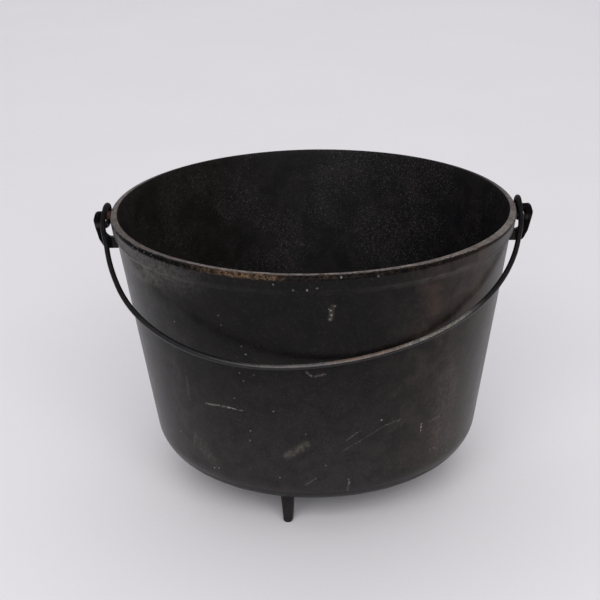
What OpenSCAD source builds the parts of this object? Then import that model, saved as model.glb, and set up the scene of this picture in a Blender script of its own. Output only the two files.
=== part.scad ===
// Cast iron cauldron: a straight-sided pot on three short legs, with two cast
// ears and a wire bail whose eyes are closed round a bar in each ear.
// Z is up, the floor is z = 0, and the pot's axis is the Z axis.
// The ears lie along X, and the bail swings about X and rests against the front.

/* [Pot] */
// Diameter across the lip
lip_diameter = 316; // [240:2:420]
// Height of the pot from its flat bottom to the top of the lip
pot_height = 200; // [150:1:280]
// Lean of the wall from upright, in degrees
wall_lean = 8.5; // [5:0.5:12]
// Thickness of the wall
wall = 4; // [3:0.5:7]
// Thickness of the bottom
bottom = 5.5; // [4:0.5:9]
// Radius of the outer curve between the wall and the bottom
corner_radius = 28; // [18:1:40]
// Length of the ridge that the pouring gate left under the bottom
gate_length = 56; // [30:1:80]
// Width of that ridge
gate_width = 4; // [3:0.5:6]
// How far that ridge stands out
gate_height = 1.6; // [1:0.1:3]

/* [Lip] */
// Height of the thicker band round the outside of the lip
band_height = 13; // [9:1:20]
// How far the band stands out from the wall
band_step = 2; // [0.8:0.1:3]
// How far the top of the lip falls from its inner edge to the outside
lip_fall = 1.8; // [0.4:0.2:3]
// Radius of the lip's outer edge
lip_round = 2.2; // [1:0.1:3]
// Radius of the lip's inner edge
lip_edge = 0.8; // [0.3:0.1:1.5]

/* [Legs] */
// Height of the legs below the bottom
leg_height = 25; // [15:1:45]
// Diameter of the circle that the legs stand on
leg_circle = 206; // [150:2:240]
// Width of a leg where it leaves the pot
leg_width = 13; // [10:0.5:20]
// Width of a foot as a part of the leg's width
foot_part = 0.64; // [0.5:0.02:0.9]
// Height of the worn end of a foot
foot_wear = 3; // [1:0.5:5]
// Depth of the grooves down the outer face of a leg
leg_groove = 0.65; // [0.2:0.05:1.2]
// How far the front leg is turned to the left of the front, in degrees
leg_turn = 13.5; // [0:0.5:25]

/* [Ears] */
// Diameter of the bar that the bail's eye hangs on
bar_diameter = 7; // [6:0.5:9]
// Depth of that bar's axis below the top of the lip
bar_drop = 6.8; // [6:0.2:12]
// Thickness of an ear from front to back
ear_thickness = 8; // [7:0.2:12]
// Radius of an ear's long edges
ear_edge = 2; // [0.8:0.2:3]
// Width of an ear's outer arm where it is widest
arm_width = 7; // [5:0.2:9]
// Gap between that arm and an eye where they come closest
arm_gap = 0.4; // [0.3:0.1:1.5]
// Lean of that arm's lower part towards the pot, in degrees
arm_lean = 17; // [8:1:22]
// Height of an ear from the axis of its bar to its underside
ear_height = 26.6; // [25:0.1:36]
// Thickness of the shelf that carries the arm
shelf_thickness = 9.2; // [6:0.2:11]
// Length of that shelf from the wall to the middle of its rounded end
shelf_length = 9.8; // [7:0.2:12]

/* [Bail] */
// Thickness of the wire
wire_diameter = 4.2; // [3.6:0.1:5]
// Inner radius of an eye
eye_radius = 6; // [5:0.1:7]
// Gap between an eye and the lip where they come closest
eye_gap = 0.6; // [0.3:0.1:1.5]
// How far the left eye's back edge is bent towards the pot
left_skew = 1.4; // [0:0.1:2]
// How far the right eye's back edge is bent towards the pot
right_skew = 0.4; // [0:0.1:2]
// How much deeper the bail is than half of its span
bail_extra = 4.3; // [2:0.1:12]
// How far the bail's lowest point lies to the left of the middle of its span
bail_shift = 23; // [0:0.5:30]
// How far the bail has slid to the left on its bars
bail_slide = 0.6; // [0:0.1:1.5]
// Radius of the bail's left side as a part of half of its span
left_part = 1.38; // [1.15:0.01:1.5]
// Radius of the bail's right side as a part of half of its span
right_part = 0.99; // [0.6:0.01:1]

/* [Hidden] */

iron = [0.2, 0.2, 0.21];
wire_iron = [0.36, 0.34, 0.33];
running_gap = 0.4;   // free space where the bail moves
round_fn = 200;      // sides of the pot
wire_fn = 32;        // sides of an ear's bar
wire_sides = 16;     // sides of the wire
edge_fn = 24;        // sides of the rounded ends of an ear
arc_step = 6;        // degrees between two points of a curve of the pot
edge_step = 30;      // degrees between two points of an ear's edge

// Points of an arc round a centre
function arc(centre, r, from, to, step) =
    let (steps = ceil(abs(to - from) / step))
    [for (i = [0:steps])
        let (a = from + (to - from) * i / steps) centre + r * [cos(a), sin(a)]];
// Centre of the curve of radius r at a corner between two faces that look along
// the angles from and to. The radius of a hollow corner is negative.
function curve_centre(p, from, to, r) =
    let (u = [cos(from), sin(from)], v = [cos(to), sin(to)])
    p - r * (u + v) / (1 + u * v);
function rounded(p, from, to, r) =
    arc(curve_centre(p, from, to, r), r, from, to, arc_step);

// Pot. The outer wall is a straight line that leans out by wall_slope.
lip_r = lip_diameter / 2;
wall_slope = tan(wall_lean);
wall_across = wall / cos(wall_lean);
lip_z = pot_height - lip_fall;
band_z = pot_height - band_height;
lip_width = band_step + wall_across - lip_fall * wall_slope;
lip_face = 90 - atan2(lip_fall, lip_width);
lip_out = curve_centre([0, 0], -wall_lean, lip_face, lip_round)[0] + lip_round;
base_r = lip_r - lip_out - band_step - lip_z * wall_slope;
function wall_r(z) = base_r + z * wall_slope;
function band_r(z) = wall_r(z) + band_step;
function inner_r(z) = wall_r(z) - wall_across;

outer_line = concat(
    [[0, 0]],
    rounded([base_r, 0], -90, -wall_lean, corner_radius),
    [[wall_r(band_z - band_step), band_z - band_step], [band_r(band_z), band_z]],
    rounded([band_r(lip_z), lip_z], -wall_lean, lip_face, lip_round));
inner_line = concat(
    rounded([inner_r(pot_height), pot_height], lip_face, 180 - wall_lean, lip_edge),
    rounded([inner_r(bottom), bottom], 180 - wall_lean, 90, wall - corner_radius),
    [[0, bottom]]);

// Bail and ears. The bail's own frame has its front on -Y and the hinge on X.
bar_r = bar_diameter / 2;
bar_above = pot_height - bar_drop;
bar_z = leg_height + bar_above;
wire_r = wire_diameter / 2;
ring_r = eye_radius + wire_r;
// The eyes stand as near to the lip as their skews and the slide let them.
function near_x(skew) = band_r(bar_above) + eye_gap + wire_r + skew;
half_span = max(near_x(left_skew) - bail_slide, near_x(right_skew) + bail_slide);
skew_part = 0.75;    // part of an eye's skew that comes beside the ear's arm
hole_x = half_span + wire_r + arm_gap
    + max(left_skew * skew_part + bail_slide, right_skew * skew_part - bail_slide);

bail_depth = half_span + bail_extra;
strand_part = 0.24;  // straight stretch beside an eye as a part of half of the span
strand = strand_part * half_span;

// One half of the arch, seen from its lowest point: a crown arc that is level
// there, then a side arc that would meet the hinge line square.
function half_width(side) = half_span + side * bail_shift;
function side_r(side) = half_span * (side > 0 ? right_part : left_part);
function crown_r(side) =
    let (a = half_width(side), b = bail_depth, r = side_r(side))
    (a * a + b * b - 2 * a * r) / (2 * (b - r));
function joint_angle(side) =
    let (r = side_r(side), c = crown_r(side), way = sign(r - c))
    atan2(way * (bail_depth - c), way * (r - half_width(side)));
function strand_angle(side) = asin(strand / side_r(side));
// Point of the arch at an angle of 90 (lowest point) down to 0 (hinge line)
function arch_point(side, a) =
    let (on_side = a < joint_angle(side), r = on_side ? side_r(side) : crown_r(side))
    [(on_side ? half_width(side) - r : 0) + r * cos(a),
     -r * sin(a) - (on_side ? 0 : bail_depth - r), 0];

// Angle below level at which a point of the arch meets the wall
wall_at_bar = wall_r(bar_above) + (wire_r + running_gap) / cos(wall_lean);
function touch_angle(x, y) =
    let (m = wall_slope, k = 1 + m * m,
         root = pow(wall_at_bar * m, 2) - k * (pow(wall_at_bar, 2) - x * x - y * y),
         drop = root < 0 ? 1 : (wall_at_bar * m + sqrt(root)) / (k * abs(y)))
    drop < 1 ? asin(drop) : 90;
touch_from = 30;     // the part of the arch that can meet the wall starts here
touch_step = 3;      // degrees between the points of it that are tried
rest_angle = min([for (side = [-1, 1], a = [touch_from:touch_step:90])
    let (p = arch_point(side, a)) touch_angle(p[0] - side * (bail_shift + bail_slide), p[1])]);

// The eye: a ring round the bar, turned a little out of the YZ plane.
// The wire leaves it towards the arch at eye_leave and ends at eye_end.
eye_leave = 68;
eye_end = eye_leave - acos(1 - (wire_diameter + running_gap) / ring_r);
function eye_turn(side) = asin((side > 0 ? right_skew : left_skew) / ring_r);
function eye_point(side, a) =
    let (turn = eye_turn(side))
    [half_width(side), 0, 0] + ring_r * [cos(a) * sin(turn), -cos(a) * cos(turn), sin(a)];
function eye_way(side, a) =
    let (turn = eye_turn(side)) [sin(a) * sin(turn), -sin(a) * cos(turn), -cos(a)];

// Curve from p to q that starts along the way u and ends along the way v
bend_pull = 0.45;    // how strongly its ends keep their ways
function bend(p, u, q, v, steps) =
    let (pull = norm(q - p) * bend_pull, b = p + pull * u, c = q - pull * v)
    [for (i = [1:steps - 1])
        let (t = i / steps, w = 1 - t)
        w * w * w * p + 3 * w * w * t * b + 3 * w * t * t * c + t * t * t * q];

// Middle line of half of the bail, from its lowest point to the end of its eye
arch_steps = 20;     // stretches of half of the arch
bend_steps = 8;      // stretches between the arch and an eye
eye_steps = 22;      // stretches of an eye
function half_route(side) =
    let (e = strand_angle(side), turns = 360 + eye_end - eye_leave)
    concat(
        [for (i = [0:arch_steps]) arch_point(side, 90 + (e - 90) * i / arch_steps)],
        bend(arch_point(side, e), [sin(e), cos(e), 0],
             eye_point(side, eye_leave), -eye_way(side, eye_leave), bend_steps),
        [for (i = [0:eye_steps]) eye_point(side, eye_leave + turns * i / eye_steps)]);
function backwards(list) = [for (i = [len(list) - 1:-1:0]) list[i]];
bail_route = concat(
    [for (p = backwards(half_route(-1))) [-p[0], p[1], p[2]]],
    [for (i = [1:len(half_route(1)) - 1]) half_route(1)[i]]);

// Wire of radius r bent along a route, as one tube with flat ends
function unit(v) = v / norm(v);
function square_to(u, way) = unit(u - (u * way) * way);
module wire(route, r, sides) {
    n = len(route);
    ways = [for (i = [0:n - 1]) unit(route[min(i + 1, n - 1)] - route[max(i - 1, 0)])];
    ups = [for (i = 0, u = square_to([1, 0, 0], ways[0]); i < n;
            i = i + 1, u = square_to(u, ways[min(i, n - 1)])) u];
    points = [for (i = [0:n - 1], k = [0:sides - 1])
        let (a = 360 * k / sides)
        route[i] + r * (cos(a) * ups[i] + sin(a) * cross(ways[i], ups[i]))];
    skin = [for (i = [0:n - 2], k = [0:sides - 1], half = [0, 1])
        let (next = (k + 1) % sides, here = i * sides, on = here + sides)
        half == 0 ? [here + k, here + next, on + k] : [here + next, on + next, on + k]];
    polyhedron(points, concat(skin,
        [[for (k = [sides - 1:-1:0]) k], [for (k = [0:sides - 1]) (n - 1) * sides + k]]));
}

// The pot's outside as a solid block, which ears and legs are trimmed to
module pot_block() {
    translate([0, 0, leg_height])
        rotate_extrude($fn = round_fn)
            polygon(concat(outer_line, [[0, pot_height]]));
}

module pot_shell() {
    color(iron)
        translate([0, 0, leg_height]) {
            rotate_extrude($fn = round_fn) polygon(concat(outer_line, inner_line));
            translate([-gate_length / 2, -gate_width / 2, -gate_height])
                cube([gate_length, gate_width, gate_height + bottom / 2]);
        }
}

// A disc as thick as the ear, with rounded edges, at a place in the XZ plane
edge_limit = 0.8;    // largest radius of those edges as a part of the disc's
module disc(x, z, r) {
    half = ear_thickness / 2;
    e = min(ear_edge, edge_limit * min(r, half));
    translate([x, 0, z]) rotate([90, 0, 0])
        rotate_extrude($fn = edge_fn)
            polygon(concat([[0, -half]],
                arc([r - e, e - half], e, -90, 0, edge_step),
                arc([r - e, half - e], e, 0, 90, edge_step),
                [[0, half]]));
}

// The ear on the right: a bar out from the lip, an arm down and a shelf back
corner_part = 0.86;  // radius of the arm's corner and elbow as a part of the bar's
knee_part = 0.64;    // place of the arm's knee between its elbow and the shelf
module ear() {
    corner_r = corner_part * bar_r;
    arm_r = arm_width / 2;
    shelf_r = shelf_thickness / 2;
    shelf_z = shelf_r - ear_height;
    shelf_root = wall_r(bar_above + shelf_z);
    shelf_x = shelf_root + shelf_length;
    // The arm is widest just under the bar, upright beside the eye down to its
    // elbow, and leans in from there to its knee.
    arm_x = hole_x + arm_r;
    elbow_x = hole_x + corner_r;
    elbow_z = -ring_r - running_gap;
    knee_z = elbow_z + (shelf_z - elbow_z) * knee_part;
    knee_x = elbow_x + (knee_z - elbow_z) * tan(arm_lean);
    difference() {
        translate([0, 0, bar_z]) {
            translate([lip_r - wall, 0, 0]) rotate([0, 90, 0])
                cylinder(r = bar_r, h = arm_x - lip_r + wall, $fn = wire_fn);
            hull() {
                disc(elbow_x, 0, corner_r);
                disc(arm_x, -bar_r, arm_r);
            }
            hull() {
                disc(arm_x, -bar_r, arm_r);
                disc(elbow_x, elbow_z, corner_r);
            }
            hull() {
                disc(elbow_x, elbow_z, corner_r);
                disc(knee_x, knee_z, arm_r);
            }
            hull() {
                disc(knee_x, knee_z, arm_r);
                disc(shelf_x, shelf_z, shelf_r);
            }
            hull() {
                disc(shelf_x, shelf_z, shelf_r);
                disc(shelf_root - shelf_r, shelf_z, shelf_r);
            }
        }
        pot_block();
    }
}

module right_ear() { color(iron) ear(); }
module left_ear() { color(iron) mirror([1, 0, 0]) ear(); }

// A tapering leg with ridges down its outer face and a worn foot
leg_ridges = 5;      // ridges and grooves on each side of a leg's middle
leg_sweep = 75;      // degrees from a leg's middle to the end of its ridged face
leg_bulge = 1.15;    // depth of that face as a part of half of the width
leg_back = [0.9, 0.7]; // corner of a leg's back as a part of half of the width
foot_end = 0.75;     // size of the worn underside as a part of the foot
module leg(turn) {
    w = leg_width / 2;
    root = corner_radius / 2;      // length of the leg inside the pot's curve
    body = leg_height + root - foot_wear;
    face = [for (i = [-leg_ridges:leg_ridges])
        let (a = leg_sweep * i / leg_ridges, r = i % 2 == 0 ? w : w - leg_groove)
        r * [leg_bulge * cos(a), sin(a)]];
    section = concat(face, [w * [-leg_back[0], leg_back[1]], -w * leg_back]);
    rotate([0, 0, turn]) translate([leg_circle / 2, 0, leg_height])
        difference() {
            union() {
                translate([0, 0, root]) mirror([0, 0, 1])
                    linear_extrude(height = body, scale = foot_part) polygon(section);
                translate([0, 0, root - body]) mirror([0, 0, 1])
                    linear_extrude(height = foot_wear, scale = foot_end)
                        polygon(section * foot_part);
            }
            translate([-leg_circle / 2, 0, -leg_height]) rotate([0, 0, -turn]) pot_block();
        }
}

// The legs stand a third of a turn apart.
module front_leg() { color(iron) leg(-90 - leg_turn); }
module right_leg() { color(iron) leg(-90 - leg_turn + 360 / 3); }
module left_leg() { color(iron) leg(-90 - leg_turn - 360 / 3); }

module bail() {
    color(wire_iron)
        translate([-bail_shift - bail_slide, 0, bar_z]) rotate([rest_angle, 0, 0])
            wire(bail_route, wire_r, wire_sides);
}

pot_shell();
left_ear();
right_ear();
front_leg();
right_leg();
left_leg();
bail();
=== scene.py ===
"""Looks of the cast iron cauldron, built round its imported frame.

Sizes are in millimetres, as in the part's source, and go to Blender in metres.
X runs along the ears, the front is on -Y, and the floor is z = 0.
"""
import math

import bmesh
import bpy
import numpy as np
from mathutils import Matrix, Vector


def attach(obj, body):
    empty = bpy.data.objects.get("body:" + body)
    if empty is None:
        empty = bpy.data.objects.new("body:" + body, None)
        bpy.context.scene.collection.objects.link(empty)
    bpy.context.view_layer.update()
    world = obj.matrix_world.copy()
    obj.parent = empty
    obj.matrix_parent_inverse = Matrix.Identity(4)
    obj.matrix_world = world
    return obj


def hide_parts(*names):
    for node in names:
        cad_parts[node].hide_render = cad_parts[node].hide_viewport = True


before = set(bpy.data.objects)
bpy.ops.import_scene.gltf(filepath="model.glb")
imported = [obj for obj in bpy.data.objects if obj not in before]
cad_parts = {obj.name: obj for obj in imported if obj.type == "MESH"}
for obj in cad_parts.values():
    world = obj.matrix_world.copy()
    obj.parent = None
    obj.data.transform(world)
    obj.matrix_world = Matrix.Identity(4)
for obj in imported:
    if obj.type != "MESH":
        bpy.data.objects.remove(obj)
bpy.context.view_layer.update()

MM = 0.001
SEED = 41

# Pot, lip and gate ridge, with the values of the part's source
POT_H, LEG_H = 200.0, 25.0
LEAN, WALL, BOTTOM, CORNER_R = 8.5, 4.0, 5.5, 28.0
BAND_H, BAND_STEP, LIP_R = 13.0, 2.0, 158.0
LIP_FALL, LIP_ROUND, LIP_EDGE = 1.8, 2.2, 0.8
GATE = (56.0, 4.0, 1.6)
POT_SIDES = 400

# Legs
LEG_CIRCLE, LEG_WIDTH, FOOT_PART, FOOT_WEAR = 206.0, 13.0, 0.64, 3.0
LEG_GROOVE, LEG_TURN, LEG_BULGE, LEG_SWEEP = 0.65, 13.5, 1.15, 75.0
LEG_RIDGES = 5

# Ears
BAR_R, BAR_DROP, EAR_T, EAR_EDGE = 3.5, 6.8, 8.0, 2.0
ARM_W, ARM_GAP, ARM_LEAN, EAR_H = 7.0, 0.4, 17.0, 26.6
SHELF_T, SHELF_L, CORNER_PART, KNEE_PART = 9.2, 9.8, 0.86, 0.64

# Bail
WIRE_R, EYE_R, EYE_GAP = 2.1, 6.0, 0.6
LEFT_SKEW, RIGHT_SKEW, SKEW_PART = 1.4, 0.4, 0.75
BAIL_EXTRA, BAIL_SHIFT, BAIL_SLIDE = 4.3, 23.0, 0.6
LEFT_PART, RIGHT_PART, STRAND_PART = 1.38, 0.99, 0.24
RUNNING_GAP, EYE_LEAVE, BEND_PULL = 0.4, 68.0, 0.45

SLOPE = math.tan(math.radians(LEAN))
WALL_ACROSS = WALL / math.cos(math.radians(LEAN))
LIP_Z, BAND_Z = POT_H - LIP_FALL, POT_H - BAND_H
BAR_ABOVE = POT_H - BAR_DROP
BAR_Z = LEG_H + BAR_ABOVE


def direction(angle):
    a = math.radians(angle)
    return np.array([math.cos(a), math.sin(a)])


def curve_centre(p, start, end, r):
    """Centre of the curve of radius r at a corner between faces that look along two angles."""
    u, v = direction(start), direction(end)
    return np.array(p, float) - r * (u + v) / (1 + u @ v)


def rounded(p, start, end, r, step=3.0):
    c = curve_centre(p, start, end, r)
    n = max(2, math.ceil(abs(end - start) / step))
    return [c + r * direction(start + (end - start) * i / n) for i in range(n + 1)]


LIP_WIDTH = BAND_STEP + WALL_ACROSS - LIP_FALL * SLOPE
LIP_FACE = 90 - math.degrees(math.atan2(LIP_FALL, LIP_WIDTH))
LIP_OUT = curve_centre((0, 0), -LEAN, LIP_FACE, LIP_ROUND)[0] + LIP_ROUND
BASE_R = LIP_R - LIP_OUT - BAND_STEP - LIP_Z * SLOPE


def wall_r(z):
    return BASE_R + z * SLOPE


def band_r(z):
    return wall_r(z) + BAND_STEP


def inner_r(z):
    return wall_r(z) - WALL_ACROSS


# ---------------------------------------------------------------- meshes

def hash_noise(points, scale, seed):
    """Smooth value noise from -1 to 1 at points, in features of the size of scale."""
    p = np.asarray(points, float) / scale
    cell = np.floor(p).astype(np.int64)
    t = p - cell
    t = t * t * (3 - 2 * t)
    total = np.zeros(len(p))
    for corner in range(8):
        bits = np.array([corner & 1, corner >> 1 & 1, corner >> 2 & 1])
        c = cell + bits
        h = (c[:, 0] * 73856093) ^ (c[:, 1] * 19349663) ^ (c[:, 2] * 83492791) ^ (seed * 2654435)
        h = (h ^ (h >> 13)) * 1274126177 & 0x7FFFFFFF
        value = (h ^ (h >> 16)) % 65536 / 32767.5 - 1
        weight = np.prod(np.where(bits, t, 1 - t), axis=1)
        total += weight * value
    return total


def mesh_object(name, points, faces, body, nodes, smooth=True):
    """A piece from points in millimetres, on a body, in place of CAD nodes."""
    mesh = bpy.data.meshes.new(name)
    mesh.from_pydata((np.asarray(points, float) * MM).tolist(), [], faces)
    mesh.validate()
    mesh.update()
    obj = bpy.data.objects.new(name, mesh)
    bpy.context.scene.collection.objects.link(obj)
    if smooth:
        mesh.polygons.foreach_set("use_smooth", [True] * len(mesh.polygons))
    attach(obj, body)
    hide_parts(*nodes)
    return obj


def fine(line, longest):
    """A profile with its long straight stretches cut up."""
    out = [np.array(line[0], float)]
    for q in line[1:]:
        q = np.array(q, float)
        n = max(1, math.ceil(np.linalg.norm(q - out[-1]) / longest))
        start = out[-1]
        out += [start + (q - start) * i / n for i in range(1, n + 1)]
    return out


def make_pot():
    # the step under the band is one soft curve, as cast
    low, high = BAND_Z - 4.0, BAND_Z + 1.2
    step = []
    for i in range(13):
        t = i / 12
        z = low + (high - low) * t
        step.append((wall_r(z) + BAND_STEP * t * t * (3 - 2 * t), z))
    outer = fine([[0, 0]] + rounded((BASE_R, 0), -90, -LEAN, CORNER_R) + [step[0]], 5)
    outer += step[1:]
    outer += fine([step[-1]]
                  + rounded((band_r(LIP_Z), LIP_Z), -LEAN, LIP_FACE, LIP_ROUND, 12), 3)[1:]
    inner = rounded((inner_r(POT_H), POT_H), LIP_FACE, 180 - LEAN, LIP_EDGE, 15)
    inner += rounded((inner_r(BOTTOM), BOTTOM), 180 - LEAN, 90, WALL - CORNER_R)
    profile = np.array(outer + fine([outer[-1]] + inner + [np.array([0, BOTTOM])], 5)[1:])
    seen = np.r_[True, np.linalg.norm(np.diff(profile, axis=0), axis=1) > 1e-4]
    profile = profile[seen]
    ring, n = profile[1:-1], POT_SIDES
    turn = 2 * math.pi * np.arange(n) / n
    points = np.concatenate([
        np.column_stack([r * np.cos(turn), r * np.sin(turn), np.full(n, z)]) for r, z in ring])
    # slight unevenness of the casting: the outside only goes inwards, the lip only down
    outside = np.repeat(np.arange(len(ring)) < len(outer) - 1, n)
    r = np.hypot(points[:, 0], points[:, 1])
    soft = 0.5 + 0.5 * (0.7 * hash_noise(points, 60, SEED) + 0.3 * hash_noise(points, 14, SEED + 1))
    grain = 0.5 + 0.5 * hash_noise(points, 4.5, SEED + 2)
    dent = np.where(outside, 0.34 * soft + 0.06 * grain, -0.25 * soft - 0.05 * grain)
    low = np.clip(points[:, 2] / 12, 0, 1)
    points[:, :2] *= (1 - dent * low / np.maximum(r, 1))[:, None]
    near_lip = np.clip((points[:, 2] - 190) / 9, 0, 1)
    points[:, 2] -= near_lip * 0.3 * (0.5 + 0.5 * hash_noise(points, 42, SEED + 3))
    first, last = len(points), len(points) + 1
    points = np.vstack([points, [0, 0, profile[0][1]], [0, 0, profile[-1][1]]])
    points[:, 2] += LEG_H
    faces = []
    for i in range(len(ring) - 1):
        for k in range(n):
            a, b = i * n + k, i * n + (k + 1) % n
            faces.append((a, b, b + n, a + n))
    top = (len(ring) - 1) * n
    faces += [(first, (k + 1) % n, k) for k in range(n)]
    faces += [(last, top + k, top + (k + 1) % n) for k in range(n)]
    return mesh_object("kettle_pot", points, faces, "pot", ["pot_shell"])


def make_gate():
    """The ridge under the bottom, as a worn bar with soft edges, sunk into the pot."""
    length, width, height = GATE
    rows, section = 40, []
    for k in range(11):
        a = math.pi * k / 10
        section.append((math.cos(a) * width / 2, -height * math.sin(a) ** 0.55))
    section = [(width / 2, 2.0)] + section + [(-width / 2, 2.0)]
    points, faces, m = [], [], len(section)
    for i in range(rows + 1):
        t = i / rows
        end = min(1, 9 * t, 9 * (1 - t)) ** 0.5
        wear = 1 - 0.16 * (1 + math.sin(17.3 * t) * math.cos(7.1 * t)) * 0.5
        for y, z in section:
            points.append(((t - 0.5) * length, y * (0.75 + 0.25 * end),
                           LEG_H + (z * end * wear if z < 0 else z)))
    for i in range(rows):
        for k in range(m):
            a, b = i * m + k, i * m + (k + 1) % m
            faces.append((a, a + m, b + m, b))
    faces.append(tuple(range(m)))
    faces.append(tuple(reversed(range(rows * m, rows * m + m))))
    obj = mesh_object("gate_ridge", points, faces, "pot", [])
    return obj


def disc_points(x, z, r, root=None):
    """Points of a disc as thick as an ear, with rounded edges; it may stop at x = root."""
    half = EAR_T / 2
    e = min(EAR_EDGE, 0.8 * min(r, half))
    line = [(r - e + e * math.sin(a), e - half - e * math.cos(a))
            for a in np.radians([0, 22.5, 45, 67.5, 90])]
    line += [(q, -y) for q, y in reversed(line)]
    points = []
    for q, y in line:
        for a in np.radians(np.arange(0, 360, 10)):
            px = x + q * math.cos(a)
            points.append((px if root is None else max(px, root), y, z + q * math.sin(a)))
    return points


def hull_into(mesh, points):
    verts = [mesh.verts.new(p) for p in points]
    result = bmesh.ops.convex_hull(mesh, input=verts)
    loose = [g for g in result["geom_interior"] if isinstance(g, bmesh.types.BMVert)]
    bmesh.ops.delete(mesh, geom=[v for v in set(loose) if v.is_valid], context="VERTS")


RING_R = EYE_R + WIRE_R


def near_x(skew):
    """How near to the lip an eye can stand."""
    return band_r(BAR_ABOVE) + EYE_GAP + WIRE_R + skew


HALF_SPAN = max(near_x(LEFT_SKEW) - BAIL_SLIDE, near_x(RIGHT_SKEW) + BAIL_SLIDE)
HOLE_X = HALF_SPAN + WIRE_R + ARM_GAP + max(LEFT_SKEW * SKEW_PART + BAIL_SLIDE,
                                            RIGHT_SKEW * SKEW_PART - BAIL_SLIDE)


def cone_distance(points):
    """How far points lie outside the wall of the pot, z from its bottom."""
    r = np.hypot(points[:, 0], points[:, 1])
    z = points[:, 2]
    surface = np.where(z > BAND_Z - 0.8, band_r(z), wall_r(z))
    return (r - surface) * math.cos(math.radians(LEAN))


def remesh(name, bm, voxel, smooth_steps):
    """A closed mesh from overlapping forms, in millimetres: points and faces."""
    mesh = bpy.data.meshes.new(name)
    bm.to_mesh(mesh)
    bm.free()
    obj = bpy.data.objects.new(name, mesh)
    bpy.context.scene.collection.objects.link(obj)
    modifier = obj.modifiers.new("remesh", "REMESH")
    modifier.mode = "VOXEL"
    modifier.voxel_size = voxel
    smoother = obj.modifiers.new("smooth", "SMOOTH")
    smoother.factor, smoother.iterations = 0.5, smooth_steps
    bpy.context.view_layer.update()
    done = bpy.data.meshes.new_from_object(obj.evaluated_get(bpy.context.evaluated_depsgraph_get()))
    points = np.array([v.co for v in done.vertices], float)
    faces = [tuple(p.vertices) for p in done.polygons]
    normals = np.array([v.normal for v in done.vertices], float)
    bpy.data.objects.remove(obj)
    bpy.data.meshes.remove(mesh)
    bpy.data.meshes.remove(done)
    return points, faces, normals


def fillet(points, normals, distance, away, size):
    """Grows points sideways near the pot's surface, as the hollow curve of a casting."""
    d = np.clip(distance, 0, size)
    grow = size - np.sqrt(np.maximum(size ** 2 - (size - d) ** 2, 0))
    side = normals - away * np.sum(normals * away, axis=1)[:, None]
    length = np.linalg.norm(side, axis=1)
    side /= np.maximum(length, 1e-6)[:, None]
    return points + side * (grow * np.clip(length * 1.6, 0, 1))[:, None]


def make_ear(side, name, node, seed):
    corner_r, arm_r, shelf_r = CORNER_PART * BAR_R, ARM_W / 2, SHELF_T / 2
    shelf_z = shelf_r - EAR_H
    shelf_root = wall_r(BAR_ABOVE + shelf_z)
    shelf_x = shelf_root + SHELF_L
    arm_x, elbow_x = HOLE_X + arm_r, HOLE_X + corner_r
    elbow_z = -RING_R - RUNNING_GAP
    knee_z = elbow_z + (shelf_z - elbow_z) * KNEE_PART
    knee_x = elbow_x + (knee_z - elbow_z) * math.tan(math.radians(ARM_LEAN))
    root = shelf_root - 2.4
    bm = bmesh.new()
    corner = disc_points(elbow_x, 0, corner_r)
    arm = disc_points(arm_x, -BAR_R, arm_r)
    elbow = disc_points(elbow_x, elbow_z, corner_r)
    knee = disc_points(knee_x, knee_z, arm_r)
    shelf = disc_points(shelf_x, shelf_z, shelf_r)
    back = disc_points(shelf_root - shelf_r, shelf_z, shelf_r, root)
    for pair in (corner + arm, arm + elbow, elbow + knee, knee + shelf, shelf + back):
        hull_into(bm, pair)
    bar = []
    for x in (LIP_R - WALL + 0.3, arm_x):
        for a in np.radians(np.arange(0, 360, 10)):
            bar.append((x, BAR_R * math.cos(a), BAR_R * math.sin(a)))
    hull_into(bm, bar)
    points, faces, normals = remesh(name, bm, 0.42, 5)
    place = points + [0, 0, BAR_ABOVE]
    out = cone_distance(place)
    away = np.tile([math.cos(math.radians(LEAN)), 0, -math.sin(math.radians(LEAN))],
                   (len(points), 1))
    size = np.where(points[:, 2] > -11, 1.1, 2.3)
    for value in (1.1, 2.3):
        grown = fillet(points, normals, out, away, value)
        points = np.where((size == value)[:, None], grown, points)
    rough = 0.11 * hash_noise(points, 5, seed) + 0.05 * hash_noise(points, 1.6, seed + 1)
    points = points - normals * (0.1 + rough)[:, None]
    points[:, 0] *= side
    points[:, 2] += BAR_Z
    if side < 0:
        faces = [tuple(reversed(f)) for f in faces]
    return mesh_object(name, points, faces, "pot", [node])


def leg_radius(angle, half):
    """Outline of a leg round its own axis: ridges on the outer face, a plain back."""
    a = abs((angle + 180) % 360 - 180)
    step = LEG_SWEEP / LEG_RIDGES
    if a <= LEG_SWEEP:
        wave = 0.5 - 0.5 * math.cos(math.pi * a / step)
        r = half - LEG_GROOVE * wave
        c, s = LEG_BULGE * math.cos(math.radians(a)), math.sin(math.radians(a))
        return r * c, r * s
    t = (a - LEG_SWEEP) / (180 - LEG_SWEEP)
    power = 4.0
    end = half - LEG_GROOVE
    b = math.radians(90 + 90 * t)
    x = -0.9 * half * abs(math.cos(b)) ** (2 / power)
    y = abs(math.sin(b)) ** (2 / power)
    start = end * LEG_BULGE * math.cos(math.radians(LEG_SWEEP))
    blend = min(1, t / 0.25)
    x = start * (1 - blend) + x * blend
    return x, (end * math.sin(math.radians(LEG_SWEEP)) * (1 - blend) + 0.92 * half * y * blend
               if y > 0 else 0)


def pot_under(r):
    """Height of the pot's underside above its flat bottom at a distance from the axis."""
    c = curve_centre((BASE_R, 0), -90, -LEAN, CORNER_R)
    d = np.clip(r - c[0], 0, CORNER_R)
    return np.where(r < c[0], 0, c[1] - np.sqrt(np.maximum(CORNER_R ** 2 - d ** 2, 0)))


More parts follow.
